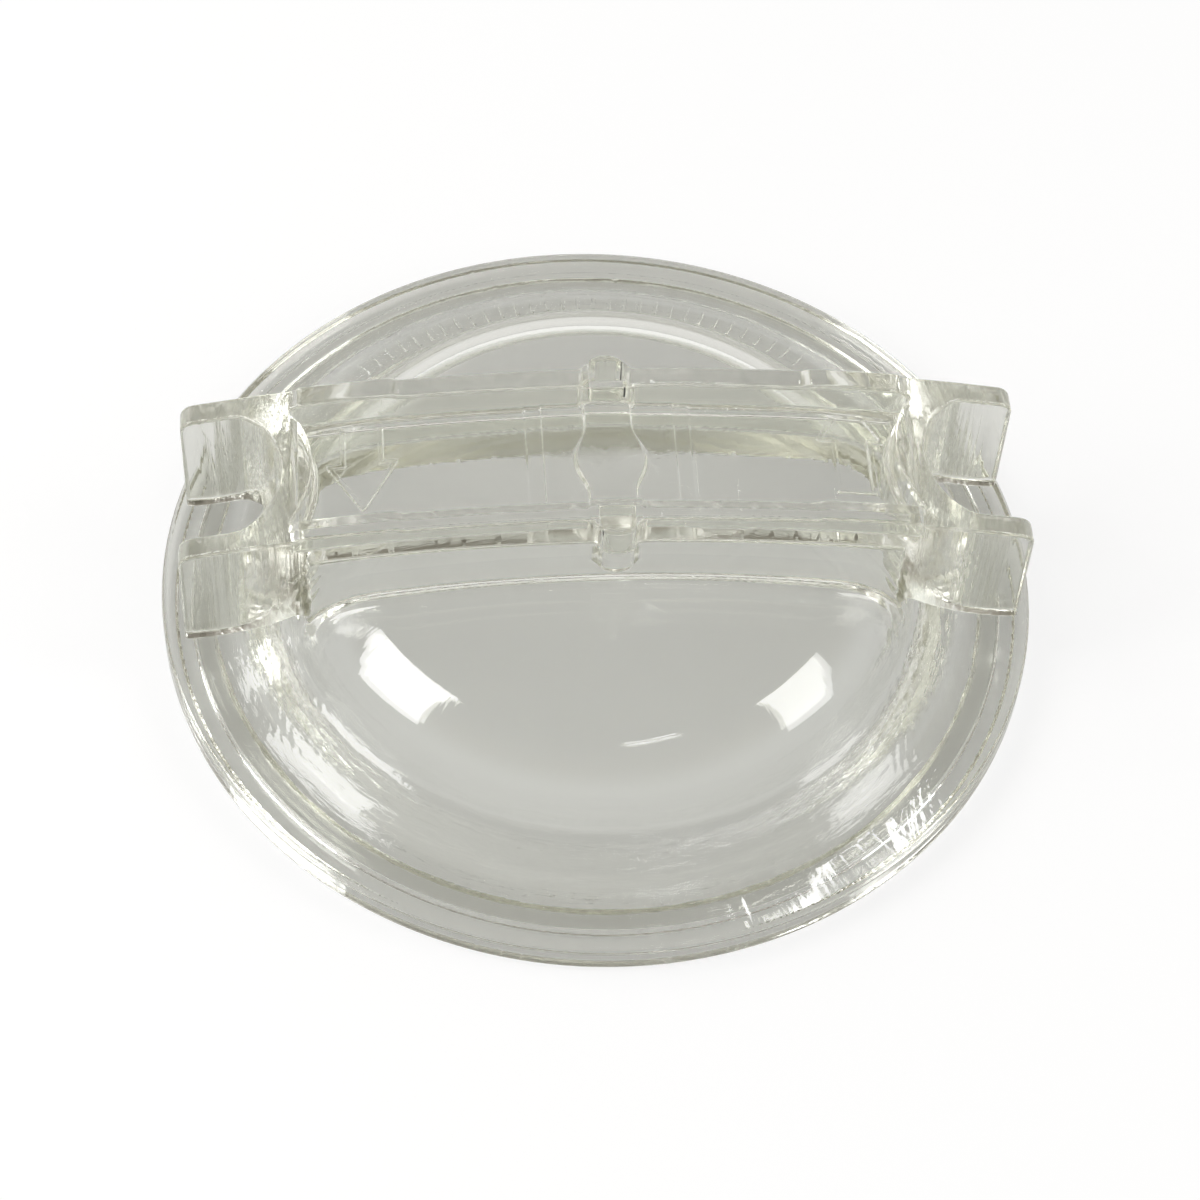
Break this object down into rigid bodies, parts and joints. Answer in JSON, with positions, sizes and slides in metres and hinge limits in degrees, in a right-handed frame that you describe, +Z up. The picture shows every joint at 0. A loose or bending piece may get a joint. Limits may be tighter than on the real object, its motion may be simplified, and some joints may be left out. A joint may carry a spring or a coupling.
{
  "type": "pump strainer lid",
  "caption": "Clear domed lid for a pump's strainer pot, with two arched grip ribs ending in lugs, round end notches and a seal under its flange.",
  "frame": {"origin": "on the lid's axis, in the plane that the sealing ring stands on", "axes": "+Z up along the lid's axis, X along the two grip ribs"},
  "size_m": [0.21, 0.21, 0.0602],
  "materials": {
    "clear_plastic": "clear moulded polycarbonate, polished",
    "silicone": "translucent silicone rubber, satin"
  },
  "bodies": {
    "root": {"strainer_lid": "clear_plastic", "sealing_ring": "silicone"}
  },
  "joints": []
}
